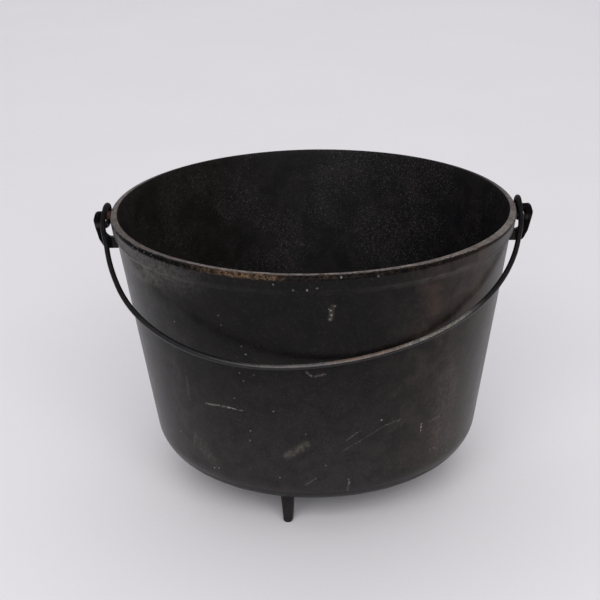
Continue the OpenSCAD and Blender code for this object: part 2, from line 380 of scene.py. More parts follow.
def make_leg(turn, name, node, seed):
    half = LEG_WIDTH / 2
    sides, rows = 132, 46
    body = LEG_H + CORNER_R / 2 - FOOT_WEAR
    points, faces = [], []
    ca, sa = math.cos(math.radians(turn)), math.sin(math.radians(turn))
    top = LEG_H + 2.6
    for i in range(rows + 1):
        z = top * (i / rows) ** 1.0
        share = (z - FOOT_WEAR) / body
        scale = FOOT_PART + (1 - FOOT_PART) * max(share, 0)
        edge = 1.0
        if z < FOOT_WEAR:
            edge = 0.78 + 0.22 * math.sqrt(max(0, 1 - (1 - z / FOOT_WEAR) ** 2))
        for k in range(sides):
            a = 360 * k / sides
            x, y = leg_radius(a, half)
            y = y if a <= 180 else -y
            x, y = x * scale * edge, y * scale * edge
            # the hollow curve where the leg runs into the pot
            reach = LEG_CIRCLE / 2 + x
            gap = max(0.0, LEG_H + float(pot_under(np.array(reach))) - z)
            size = 3.0
            d = min(gap, size)
            grow = size - math.sqrt(max(size ** 2 - (size - d) ** 2, 0))
            length = math.hypot(x, y) or 1
            x, y = x * (1 + grow / length), y * (1 + grow / length)
            points.append((LEG_CIRCLE / 2 + x, y, z))
    points = np.array(points)
    wear = 0.12 * hash_noise(points, 6, seed) + 0.06 * hash_noise(points, 2.2, seed + 1)
    away = points - [LEG_CIRCLE / 2, 0, 0]
    flat = np.hypot(away[:, 0], away[:, 1])
    points[:, :2] -= (away[:, :2] / flat[:, None]) * (0.08 + wear)[:, None]
    turned = points.copy()
    turned[:, 0] = points[:, 0] * ca - points[:, 1] * sa
    turned[:, 1] = points[:, 0] * sa + points[:, 1] * ca
    for i in range(rows):
        for k in range(sides):
            a, b = i * sides + k, i * sides + (k + 1) % sides
            faces.append((a, b, b + sides, a + sides))
    faces.append(tuple(reversed(range(sides))))
    faces.append(tuple(range(rows * sides, rows * sides + sides)))
    return mesh_object(name, turned, faces, "pot", [node])


# ---------------------------------------------------------------- bail

BAIL_DEPTH = HALF_SPAN + BAIL_EXTRA
STRAND = STRAND_PART * HALF_SPAN


def half_width(side):
    return HALF_SPAN + side * BAIL_SHIFT


def side_r(side):
    return HALF_SPAN * (RIGHT_PART if side > 0 else LEFT_PART)


def crown_r(side):
    a, b, r = half_width(side), BAIL_DEPTH, side_r(side)
    return (a * a + b * b - 2 * a * r) / (2 * (b - r))


def joint_angle(side):
    r, c = side_r(side), crown_r(side)
    way = math.copysign(1, r - c)
    return math.degrees(math.atan2(way * (BAIL_DEPTH - c), way * (r - half_width(side))))


def arch_point(side, angle):
    on_side = angle < joint_angle(side)
    r = side_r(side) if on_side else crown_r(side)
    u = direction(angle)
    return np.array([(half_width(side) - r if on_side else 0) + r * u[0],
                     -r * u[1] - (0 if on_side else BAIL_DEPTH - r), 0.0])


def touch_angle(x, y):
    """Angle below level at which a point of the arch meets the wall."""
    at_bar = wall_r(BAR_ABOVE) + (WIRE_R + RUNNING_GAP) / math.cos(math.radians(LEAN))
    k = 1 + SLOPE ** 2
    root = (at_bar * SLOPE) ** 2 - k * (at_bar ** 2 - x * x - y * y)
    drop = 1 if root < 0 else (at_bar * SLOPE + math.sqrt(root)) / (k * abs(y))
    return math.degrees(math.asin(drop)) if drop < 1 else 90.0


def rest_angle():
    found = []
    for side in (-1, 1):
        for a in range(30, 91, 3):
            p = arch_point(side, a)
            found.append(touch_angle(p[0] - side * (BAIL_SHIFT + BAIL_SLIDE), p[1]))
    return min(found)


REST = rest_angle()
EYE_END = EYE_LEAVE - math.degrees(math.acos(1 - (2 * WIRE_R + RUNNING_GAP) / RING_R))


def eye_turn(side):
    return math.asin((RIGHT_SKEW if side > 0 else LEFT_SKEW) / RING_R)


def eye_point(side, angle):
    a, turn = math.radians(angle), eye_turn(side)
    return (np.array([half_width(side), 0, 0])
            + RING_R * np.array([math.cos(a) * math.sin(turn),
                                 -math.cos(a) * math.cos(turn), math.sin(a)]))


def eye_way(side, angle):
    a, turn = math.radians(angle), eye_turn(side)
    return np.array([math.sin(a) * math.sin(turn),
                     -math.sin(a) * math.cos(turn), -math.cos(a)])


def bend(p, u, q, v, steps):
    pull = np.linalg.norm(q - p) * BEND_PULL
    b, c = p + pull * u, q - pull * v
    out = []
    for i in range(1, steps):
        t = i / steps
        w = 1 - t
        out.append(w ** 3 * p + 3 * w * w * t * b + 3 * w * t * t * c + t ** 3 * q)
    return out


def half_route(side):
    e = math.degrees(math.asin(STRAND / side_r(side)))
    out = [arch_point(side, 90 + (e - 90) * i / 90) for i in range(91)]
    leave = np.array([math.sin(math.radians(e)), math.cos(math.radians(e)), 0.0])
    out += bend(out[-1], leave, eye_point(side, EYE_LEAVE), -eye_way(side, EYE_LEAVE), 30)
    turns = 360 + EYE_END - EYE_LEAVE
    out += [eye_point(side, EYE_LEAVE + turns * i / 72) for i in range(73)]
    return out


def bail_route():
    left = [p * [-1, 1, 1] for p in reversed(half_route(-1))]
    route = np.array(left + half_route(1)[1:])
    route[:, 0] -= BAIL_SHIFT + BAIL_SLIDE
    r = math.radians(REST)
    turned = route.copy()
    turned[:, 1] = route[:, 1] * math.cos(r) - route[:, 2] * math.sin(r)
    turned[:, 2] = route[:, 1] * math.sin(r) + route[:, 2] * math.cos(r)
    turned[:, 2] += BAR_Z
    return turned


def make_bail():
    route = bail_route()
    keep = np.r_[True, np.linalg.norm(np.diff(route, axis=0), axis=1) > 0.05]
    route = route[keep]
    n, sides = len(route), 24
    ways = np.gradient(route, axis=0)
    ways /= np.linalg.norm(ways, axis=1)[:, None]
    up = np.array([1.0, 0, 0])
    along = np.r_[0, np.cumsum(np.linalg.norm(np.diff(route, axis=0), axis=1))]
    points, place = [], []
    for i in range(n):
        up = up - ways[i] * (up @ ways[i])
        up /= np.linalg.norm(up)
        other = np.cross(ways[i], up)
        ends = min(along[i], along[-1] - along[i])
        round_end = math.sqrt(max(0.0, 1 - max(0.0, 1 - ends / 0.8) ** 2)) * 0.3 + 0.7
        for k in range(sides):
            a = 2 * math.pi * k / sides
            points.append(route[i] + (WIRE_R - 0.04) * round_end
                          * (math.cos(a) * up + math.sin(a) * other))
            place.append(along[i])
    points = np.array(points)
    middle = np.repeat(route, sides, axis=0)
    out = points - middle
    out /= np.linalg.norm(out, axis=1)[:, None]
    rough = 0.05 * hash_noise(points, 9, SEED + 7) + 0.035 * hash_noise(points, 2.4, SEED + 8)
    points -= out * (0.05 + rough)[:, None]
    faces = []
    for i in range(n - 1):
        for k in range(sides):
            a, b = i * sides + k, i * sides + (k + 1) % sides
            faces.append((a, b, b + sides, a + sides))
    faces.append(tuple(reversed(range(sides))))
    faces.append(tuple(range((n - 1) * sides, n * sides)))
    obj = mesh_object("wire_bail", points, faces, "bail", ["bail"])
    attribute = obj.data.attributes.new("along", "FLOAT", "POINT")
    attribute.data.foreach_set("value", np.array(place, np.float32))
    return obj


# ---------------------------------------------------------------- materials

class Nodes:
    """Short calls for building one material's nodes."""

    def __init__(self, name):
        self.material = bpy.data.materials.new(name)
        self.material.use_nodes = True
        self.tree = self.material.node_tree
        self.tree.nodes.clear()
        self.output = self.tree.nodes.new("ShaderNodeOutputMaterial")
        self.shader = self.tree.nodes.new("ShaderNodeBsdfPrincipled")
        self.link(self.shader.outputs["BSDF"], self.output.inputs["Surface"])

    def link(self, source, target):
        self.tree.links.new(source, target)

    def put(self, socket, value):
        if isinstance(value, bpy.types.NodeSocket):
            self.link(value, socket)
        else:
            socket.default_value = value

    def add(self, kind, **settings):
        node = self.tree.nodes.new(kind)
        for key, value in settings.items():
            setattr(node, key, value)
        return node

    def math(self, operation, a, b=0.5, c=0.5, clamp=False):
        node = self.add("ShaderNodeMath", operation=operation, use_clamp=clamp)
        for socket, value in zip(node.inputs, (a, b, c)):
            self.put(socket, value)
        return node.outputs[0]

    def object_place(self):
        return self.add("ShaderNodeTexCoord").outputs["Object"]

    def split(self, vector):
        node = self.add("ShaderNodeSeparateXYZ")
        self.put(node.inputs[0], vector)
        return node.outputs

    def noise(self, vector, size_mm, detail=2.0, rough=0.5, distortion=0.0, stretch=None):
        if stretch is not None:
            scaled = self.add("ShaderNodeVectorMath", operation="MULTIPLY")
            self.put(scaled.inputs[0], vector)
            scaled.inputs[1].default_value = stretch
            vector = scaled.outputs[0]
        node = self.add("ShaderNodeTexNoise")
        self.put(node.inputs["Vector"], vector)
        node.inputs["Scale"].default_value = 1 / (size_mm * MM)
        node.inputs["Detail"].default_value = detail
        node.inputs["Roughness"].default_value = rough
        node.inputs["Distortion"].default_value = distortion
        return node.outputs["Fac"]

    def ramp(self, value, low, high, to_low=0.0, to_high=1.0, smooth=True):
        node = self.add("ShaderNodeMapRange", clamp=True)
        node.interpolation_type = "SMOOTHSTEP" if smooth else "LINEAR"
        for key, number in (("Value", value), ("From Min", low), ("From Max", high),
                            ("To Min", to_low), ("To Max", to_high)):
            self.put(node.inputs[key], number)
        return node.outputs["Result"]

    def mix(self, factor, a, b, blend="MIX"):
        node = self.add("ShaderNodeMix", data_type="RGBA", blend_type=blend)
        self.put(node.inputs["Factor"], factor)
        for socket, value in ((node.inputs[6], a), (node.inputs[7], b)):
            if isinstance(value, tuple):
                value = (*value, 1.0)[:4]
            self.put(socket, value)
        return node.outputs[2]

    def bump(self, height, distance_mm, strength=1.0, normal=None):
        node = self.add("ShaderNodeBump")
        node.inputs["Strength"].default_value = strength
        node.inputs["Distance"].default_value = distance_mm * MM
        self.put(node.inputs["Height"], height)
        if normal is not None:
            self.put(node.inputs["Normal"], normal)
        return node.outputs["Normal"]


def srgb(*values):
    """Linear colour from 0 to 255 values as they are seen."""
    out = []
    for v in values:
        v /= 255
        out.append(v / 12.92 if v <= 0.04045 else ((v + 0.055) / 1.055) ** 2.4)
    return tuple(out)


def mark_group():
    """Node group: how strongly a point lies on a mark from A to B, both on the wall."""
    group = bpy.data.node_groups.new("wall_mark", "ShaderNodeTree")
    face = group.interface
    for name, kind in (("Place", "NodeSocketVector"), ("A", "NodeSocketVector"),
                       ("B", "NodeSocketVector"), ("Width", "NodeSocketFloat"),
                       ("Edge", "NodeSocketFloat"), ("Strength", "NodeSocketFloat")):
        face.new_socket(name, in_out="INPUT", socket_type=kind)
    face.new_socket("Mask", in_out="OUTPUT", socket_type="NodeSocketFloat")
    nodes, link = group.nodes, group.links.new
    enter, leave = nodes.new("NodeGroupInput"), nodes.new("NodeGroupOutput")

    def vector(operation, a, b=None):
        node = nodes.new("ShaderNodeVectorMath")
        node.operation = operation
        link(a, node.inputs[0])
        if b is not None:
            link(b, node.inputs[1])
        return node

    def number(operation, a, b=None, clamp=False):
        node = nodes.new("ShaderNodeMath")
        node.operation, node.use_clamp = operation, clamp
        link(a, node.inputs[0])
        if b is not None:
            link(b, node.inputs[1])
        return node.outputs[0]

    line = vector("SUBTRACT", enter.outputs["B"], enter.outputs["A"]).outputs[0]
    here = vector("SUBTRACT", enter.outputs["Place"], enter.outputs["A"]).outputs[0]
    across = vector("DOT_PRODUCT", here, line).outputs["Value"]
    length = vector("DOT_PRODUCT", line, line).outputs["Value"]
    share = number("DIVIDE", across, length, clamp=True)
    scale = nodes.new("ShaderNodeVectorMath")
    scale.operation = "SCALE"
    link(line, scale.inputs[0])
    link(share, scale.inputs["Scale"])
    gap = vector("DISTANCE", here, scale.outputs[0]).outputs["Value"]
    over = number("SUBTRACT", gap, enter.outputs["Width"])
    soft = number("DIVIDE", over, enter.outputs["Edge"], clamp=True)
    inside = nodes.new("ShaderNodeMath")
    inside.operation = "SUBTRACT"
    inside.inputs[0].default_value = 1.0
    link(soft, inside.inputs[1])
    squared = number("MULTIPLY", inside.outputs[0], inside.outputs[0])
    link(number("MULTIPLY", squared, enter.outputs["Strength"]), leave.inputs["Mask"])
    return group


# Marks on the wall: angle from the front in degrees (+ to the right) and height
# in millimetres above the floor of both ends, half width, soft edge, strength.
SCRATCHES = [
    (-36.5, 107.8, -31.5, 108.8, 0.45, 0.9, 0.8),
    (-31.5, 108.8, -28.5, 109.3, 0.4, 0.9, 0.45),
    (-28.5, 109.3, -26.0, 109.2, 0.5, 0.9, 0.95),
    (-26.0, 109.3, -23.0, 108.8, 0.35, 0.9, 0.4),
    (-43.2, 125.0, -43.8, 106.0, 0.8, 2.5, 0.12),
    (8.5, 86.5, 12.6, 93.6, 0.3, 1.0, 0.28),
    (7.8, 77.6, 16.0, 88.8, 0.3, 1.0, 0.16),
    (16.0, 88.8, 20.5, 94.6, 0.3, 1.0, 0.18),
    (20.5, 94.6, 26.2, 96.9, 0.3, 1.0, 0.24),
    (34.5, 87.5, 34.6, 81.2, 0.5, 0.9, 0.7),
    (37.5, 87.0, 42.2, 87.5, 0.3, 1.0, 0.25),
    (-4.5, 47.3, -1.0, 53.1, 0.3, 1.0, 0.35),
    (9.7, 50.8, 9.5, 39.4, 0.4, 1.0, 0.45),
    (40.0, 59.9, 42.2, 59.2, 0.3, 1.0, 0.3),
    (-3.2, 146.4, -2.0, 143.2, 0.4, 1.6, 0.4),
    (-0.9, 143.0, 1.7, 144.6, 0.4, 1.8, 0.34),
    (-46.0, 63.0, -43.8, 75.6, 0.4, 1.5, 0.18),
]
SMUDGES = [
    (-10.0, 73.1, -3.8, 84.2, 1.0, 6.0, 0.34),
    (3.8, 199.7, 3.5, 189.6, 0.8, 2.5, 0.3),
    (-64.0, 197.7, -50.0, 200.9, 3.0, 7.0, 0.25),
    (-53.5, 209.8, -52.5, 203.5, 2.0, 5.0, 0.3),
    (-43.0, 70.0, -38.0, 54.0, 3.0, 14.0, 0.16),
    (44.0, 118.0, 46.0, 62.0, 8.0, 22.0, 0.14),
]
RUST = [
    (33.0, 205.0, 35.0, 182.0, 0.5, 24.0, 0.5),
    (50.0, 209.8, 55.0, 182.0, 12.0, 38.0, 0.25),
]
# Specks: angle, height, strength
SPECKS = [
    (-13.5, 111.6, 0.6), (-21.5, 92.1, 0.7), (-22.0, 83.2, 0.5), (-4.0, 93.3, 0.4),
    (19.5, 100.2, 0.8), (34.5, 84.2, 1.0), (10.0, 47.8, 0.7), (-13.0, 52.8, 0.6),
    (-37.5, 49.0, 0.9), (-35.5, 50.3, 0.7), (-52.5, 69.3, 0.7), (49.5, 50.3, 0.8),
    (2.0, 64.7, 0.6), (4.5, 200.2, 0.5), (3.5, 196.6, 0.8), (3.8, 192.6, 0.8),
    (3.3, 189.6, 0.5), (3.0, 197.7, 0.5), (-11.0, 217.4, 0.6), (-2.5, 213.6, 0.8),
    (-6.0, 213.6, 0.5), (6.0, 223.0, 0.7), (15.5, 221.2, 0.6), (0.0, 214.9, 0.5),
    (-44.0, 171.8, 0.6), (-20.5, 157.9, 0.6), (-21.5, 164.2, 0.4), (-27.0, 179.4, 0.4),
    (-27.5, 187.0, 0.4), (-25.7, 118.7, 0.5), (-23.0, 141.4, 0.5), (-22.0, 135.1, 0.5),
    (-18.5, 141.4, 0.4),
]


def wall_place(n, place):
    """Arc length from the front and height, in millimetres, as a vector."""
    x, y, z = n.split(place)
    turn = n.math("ARCTAN2", x, n.math("MULTIPLY", y, -1.0))
    node = n.add("ShaderNodeCombineXYZ")
    n.put(node.inputs[0], n.math("MULTIPLY", turn, 145.0))
    n.put(node.inputs[1], n.math("MULTIPLY", z, 1000.0))
    return node.outputs[0], turn, z


def marks(n, group, at, rows):
    """The strongest of several marks at a point."""
    found = None
    for a0, z0, a1, z1, width, edge, strength in rows:
        node = n.add("ShaderNodeGroup", node_tree=group)
        n.put(node.inputs["Place"], at)
        node.inputs["A"].default_value = (math.radians(a0) * 145, z0, 0)
        node.inputs["B"].default_value = (math.radians(a1) * 145 + 0.01, z1, 0)
        node.inputs["Width"].default_value = width
        node.inputs["Edge"].default_value = 0.8 * edge
        node.inputs["Strength"].default_value = strength
        mask = node.outputs["Mask"]
        found = mask if found is None else n.math("MAXIMUM", found, mask)
    return found


def specks_at(n, at, rows):
    """Small round marks."""
    found = None
    for angle, height, strength in rows:
        node = n.add("ShaderNodeVectorMath", operation="DISTANCE")
        n.put(node.inputs[0], at)
        node.inputs[1].default_value = (math.radians(angle) * 145, height, 0)
        mask = n.ramp(node.outputs["Value"], 0.3, 1.0, 0.85 * strength ** 1.6, 0.0)
        found = mask if found is None else n.math("MAXIMUM", found, mask)
    return found


def casting_material():
    n = Nodes("cast_iron_worn")
    place = n.object_place()
    at, turn, z = wall_place(n, place)
    x, y, _ = n.split(place)
    r = n.math("SQRT", n.math("ADD", n.math("MULTIPLY", x, x), n.math("MULTIPLY", y, y)))
    # noises
    grain = n.noise(place, 1.1, 3.0, 0.6)
    sand = n.noise(place, 2.6, 4.0, 0.6)
    mottle = n.noise(place, 14, 4.0, 0.6, 0.4)
    dots = n.noise(place, 1.15, 2.0, 0.5)
    cloud = n.noise(place, 48, 3.0, 0.55)
    # where on the casting a point lies
    mid_wall = n.math("MULTIPLY_ADD", n.math("SUBTRACT", z, LEG_H * MM), SLOPE,
                      (BASE_R - WALL_ACROSS / 2) * MM)
    inside = n.math("MULTIPLY", n.ramp(n.math("SUBTRACT", mid_wall, r), -0.0002, 0.0012),
                    n.ramp(z, 0.0285, 0.0302))
    outside = n.math("SUBTRACT", 1.0, inside)
    on_pot = n.ramp(r, 0.1582, 0.1588, 1, 0)
    fall = LIP_FALL / LIP_WIDTH
    above = n.math("MULTIPLY_ADD", r, fall,
                   n.math("SUBTRACT", z, (LEG_H + POT_H + fall * inner_r(POT_H)) * MM))
    lip_top = n.math("MULTIPLY", n.ramp(above, -0.0009, -0.0004), on_pot)
    rim = n.math("MULTIPLY", n.ramp(z, (LEG_H + LIP_Z - 3.2) * MM, (LEG_H + LIP_Z - 1.6) * MM),
                 n.math("MULTIPLY", outside, on_pot))
    sideways = n.math("ABSOLUTE", n.math("ADD", turn, 0.14))
    spread = n.math("MULTIPLY", sideways, sideways)
    limit = n.math("MULTIPLY_ADD", spread, 0.0019, 0.1548)
    edge = n.math("ADD", r, n.math("MULTIPLY_ADD", sand, 0.0018, -0.0009))
    edge = n.math("ADD", edge, n.math("MULTIPLY_ADD", mottle, 0.003, -0.0015))
    edge = n.math("SUBTRACT", edge, limit)
    pale = n.math("MULTIPLY", lip_top, n.ramp(edge, -0.0003, 0.0004, 1, 0))
    behind = n.ramp(sideways, 1.7, 2.2)
    # painted highlight: a pale line along the step under the band, where its edge catches the
    # light, faint at the front and stronger toward the sides
    painted_step_line = n.math("MULTIPLY",
                       n.ramp(z, (LEG_H + BAND_Z - 3.4) * MM, (LEG_H + BAND_Z - 1.6) * MM),
                       n.ramp(z, (LEG_H + BAND_Z - 0.2) * MM, (LEG_H + BAND_Z + 2.4) * MM, 1, 0))
    step = n.math("MULTIPLY", painted_step_line, outside)
    painted_step_line = n.math("MULTIPLY", step, n.ramp(sideways, 0.3, 0.85, 0.03, 0.18))
    # colour of the wall, the ears and the inside
    # painted light and shade: the wall is painted lighter low down, where the pale floor's bounce
    # light is strongest, and darker toward the top; its pale flecks follow the same painted
    # gradient
    high = n.ramp(z, 0.03, 0.17, 0, 1, smooth=False)
    patches = n.ramp(mottle, 0.3, 0.7)
    base = n.mix(high, n.mix(patches, srgb(36, 34, 34), srgb(46, 43, 43)),
                 n.mix(patches, srgb(7, 6, 6), srgb(13, 11, 11)))
    warm = n.math("MULTIPLY", n.ramp(turn, 0.2, 0.8), n.ramp(turn, 1.4, 2.2, 1, 0))
    base = n.mix(n.math("MULTIPLY", warm, n.ramp(mottle, 0.3, 0.6, 0.2, 0.6)), base,
                 srgb(42, 34, 28))
    fleck = n.mix(high, srgb(60, 57, 55), srgb(36, 34, 33))
    base = n.mix(n.ramp(sand, 0.54, 0.72, 0.0, 0.4), base, fleck)
    base = n.mix(n.ramp(grain, 0.58, 0.72, 0.0, 0.5), base, fleck)
    base = n.mix(n.ramp(grain, 0.3, 0.44, 0.7, 0.0), base, srgb(4, 4, 4))
    dirt = n.math("MULTIPLY", n.ramp(mottle, 0.38, 0.74), n.ramp(sand, 0.35, 0.6, 0.35, 1.0))
    dirt = n.math("MULTIPLY", dirt, n.ramp(sideways, 0.4, 0.9, 0.0, 0.55))
    dirt = n.math("MULTIPLY", dirt, n.ramp(warm, 0, 1, 1, 0.7))
    dirt = n.math("MULTIPLY", dirt, n.ramp(sideways, 1.1, 1.7, 1, 0.22))
    base = n.mix(dirt, base, n.mix(warm, srgb(64, 61, 59), srgb(66, 57, 50)))
    left = n.math("MULTIPLY", n.ramp(turn, -1.75, -1.1), n.ramp(turn, -0.8, -0.45, 1, 0))
    chalky = n.math("MULTIPLY", left, n.ramp(z, (LEG_H + BAND_Z - 22) * MM, (LEG_H + BAND_Z) * MM))
    base = n.mix(n.math("MULTIPLY", chalky, n.ramp(sand, 0.36, 0.6, 0.1, 0.6)), base,
                 srgb(74, 71, 68))
    ear = n.math("MULTIPLY", n.math("SUBTRACT", 1.0, on_pot), n.ramp(z, 0.18, 0.19))
    base = n.mix(n.math("MULTIPLY", ear, 0.9), base, srgb(5, 5, 6))
    # painted highlight: a brownish pale patch on top of the left ear's bar, where it catches the
    # light
    bar = n.math("MULTIPLY", n.ramp(r, 0.1625, 0.164, 1, 0), n.ramp(x, -0.12, -0.1, 1, 0))
    bar = n.math("MULTIPLY", n.math("MULTIPLY", ear, bar), n.ramp(z, 0.2135, 0.2165))
    base = n.mix(n.math("MULTIPLY", bar, n.ramp(sand, 0.36, 0.6, 0.25, 0.9)), base,
                 srgb(84, 62, 52))
    dark_in = n.mix(n.ramp(x, -0.12, -0.02), srgb(20, 17, 13), srgb(14, 13, 15))
    dark_in = n.mix(n.ramp(mottle, 0.4, 0.7, 0.0, 0.5), dark_in, srgb(29, 26, 26))
    dusty = n.math("MULTIPLY", n.ramp(cloud, 0.4, 0.62), n.ramp(x, 0.06, 0.13, 1, 0.25))
    dark_in = n.mix(n.math("MULTIPLY", dusty, n.ramp(sand, 0.42, 0.62, 0.1, 0.5)), dark_in,
                    srgb(36, 34, 35))
    dust = n.math("MULTIPLY", n.ramp(dots, 0.56, 0.66), n.ramp(cloud, 0.36, 0.6, 0.15, 1.0))
    dark_in = n.mix(dust, dark_in, srgb(54, 51, 50))
    base = n.mix(inside, base, dark_in)
    # the lip: worn pale on top, dark and rusty on its outer round
    rim_tone = n.mix(n.ramp(sand, 0.4, 0.62), srgb(8, 7, 6), srgb(28, 23, 21))
    patch = n.math("MULTIPLY", n.ramp(turn, -0.72, -0.3), n.ramp(turn, -0.23, -0.1, 1, 0))
    flecks = n.math("MULTIPLY", n.ramp(turn, -0.05, 0.05), n.ramp(turn, 0.5, 0.7, 1, 0))
    flecks = n.math("MULTIPLY", flecks, n.ramp(mottle, 0.52, 0.62, 0.0, 0.35))
    patch = n.math("MAXIMUM", patch, flecks)
    rim_tone = n.mix(n.math("MULTIPLY", patch, n.ramp(sand, 0.4, 0.62, 0.15, 0.9)), rim_tone,
                     n.mix(n.ramp(grain, 0.4, 0.6), srgb(64, 50, 38), srgb(112, 91, 70)))
    base = n.mix(rim, base, rim_tone)
    jag = n.math("MULTIPLY", n.ramp(edge, -0.0002, 0.0003), n.ramp(edge, 0.0016, 0.0034, 1, 0))
    jag = n.math("MULTIPLY", jag, n.math("MULTIPLY", left, n.math("MULTIPLY", outside, on_pot)))
    jag = n.math("MULTIPLY", jag, n.ramp(above, -0.0032, -0.0022))
    base = n.mix(jag, base, n.mix(n.ramp(sand, 0.6, 0.68), srgb(3, 3, 3), srgb(104, 98, 94)))
    lip_tone = n.mix(n.ramp(mottle, 0.35, 0.68), srgb(84, 77, 73), srgb(112, 105, 101))
    lip_tone = n.mix(n.ramp(sand, 0.5, 0.7, 0.0, 0.75), lip_tone, srgb(62, 54, 51))
    around = n.add("ShaderNodeCombineXYZ")
    n.put(around.inputs[0], n.math("MULTIPLY", turn, 0.02))
    n.put(around.inputs[1], r)
    streak = n.noise(around.outputs[0], 0.9, 3.0, 0.6)
    lip_tone = n.mix(n.ramp(streak, 0.5, 0.66, 0.0, 0.55), lip_tone, srgb(48, 42, 40))
    lip_tone = n.mix(n.ramp(streak, 0.3, 0.42, 0.4, 0.0), lip_tone, srgb(138, 131, 127))
    # the lip darker on the left: partly its darker worn tone, partly painted shade
    lip_tone = n.mix(n.math("MULTIPLY", left, 0.6), lip_tone, srgb(58, 52, 49))
    lip_tone = n.mix(behind, lip_tone, srgb(44, 42, 42))
    base = n.mix(pale, base, lip_tone)
    base = n.mix(n.math("MULTIPLY", painted_step_line, n.ramp(mottle, 0.36, 0.56, 0.15, 1.0)),
                 base, srgb(108, 103, 100))
    # marks
    group = mark_group()
    wobble = n.add("ShaderNodeVectorMath", operation="ADD")
    n.put(wobble.inputs[0], at)
    shift = n.add("ShaderNodeCombineXYZ")
    n.put(shift.inputs[0], n.math("MULTIPLY_ADD", n.noise(place, 5, 2.0), 1.6, -0.8))
    n.put(shift.inputs[1], n.math("MULTIPLY_ADD", n.noise(place, 3.5, 2.0), 1.6, -0.8))
    n.put(wobble.inputs[1], shift.outputs[0])
    moved = wobble.outputs[0]
    front = n.math("MULTIPLY", outside, n.ramp(r, 0.11, 0.12))
    broken = n.ramp(grain, 0.4, 0.6, 0.1, 1.0)
    scratches = n.math("MULTIPLY", marks(n, group, moved, SCRATCHES), front)
    scratches = n.math("MULTIPLY", scratches, broken)
    specks = n.math("MULTIPLY", specks_at(n, moved, SPECKS), front)
    smudges = n.math("MULTIPLY", marks(n, group, moved, SMUDGES), front)
    smudges = n.math("MULTIPLY", smudges, n.ramp(sand, 0.36, 0.62, 0.25, 0.9))
    rust = n.math("MULTIPLY", marks(n, group, moved, RUST), front)
    rust = n.math("MULTIPLY", rust, n.ramp(mottle, 0.3, 0.6, 0.4, 1.0))
    base = n.mix(rust, base, srgb(58, 45, 38))
    base = n.mix(smudges, base, srgb(112, 106, 99))
    base = n.mix(scratches, base, srgb(126, 120, 113))
    base = n.mix(specks, base, srgb(140, 134, 126))
    n.put(n.shader.inputs["Base Color"], base)
    rough = n.ramp(mottle, 0.2, 0.8, 0.27, 0.36)
    rough = n.math("ADD", rough, n.math("MULTIPLY", inside, 0.14))
    rough = n.math("ADD", rough, n.math("MULTIPLY", pale, 0.25))
    rough = n.math("ADD", rough, n.math("MULTIPLY", step, 0.2), clamp=True)
    n.put(n.shader.inputs["Roughness"], rough)
    n.shader.inputs["Metallic"].default_value = 0.0
    gloss = n.math("MULTIPLY", n.ramp(z, 0.022, 0.03, 0.04, 0.12), n.ramp(ear, 0, 1, 1, 0.2))
    dull = n.math("MULTIPLY", rim, n.math("SUBTRACT", 1.0, pale))
    gloss = n.math("MULTIPLY", gloss, n.ramp(dull, 0, 1, 1, 0.3))
    n.put(n.shader.inputs["Specular IOR Level"], gloss)
    height = n.math("ADD", n.math("MULTIPLY", grain, 0.35), n.math("MULTIPLY", sand, 0.65))
    normal = n.bump(height, 0.12, 0.6)
    normal = n.bump(mottle, 0.4, 0.35, normal)
    n.put(n.shader.inputs["Normal"], normal)
    return n.material


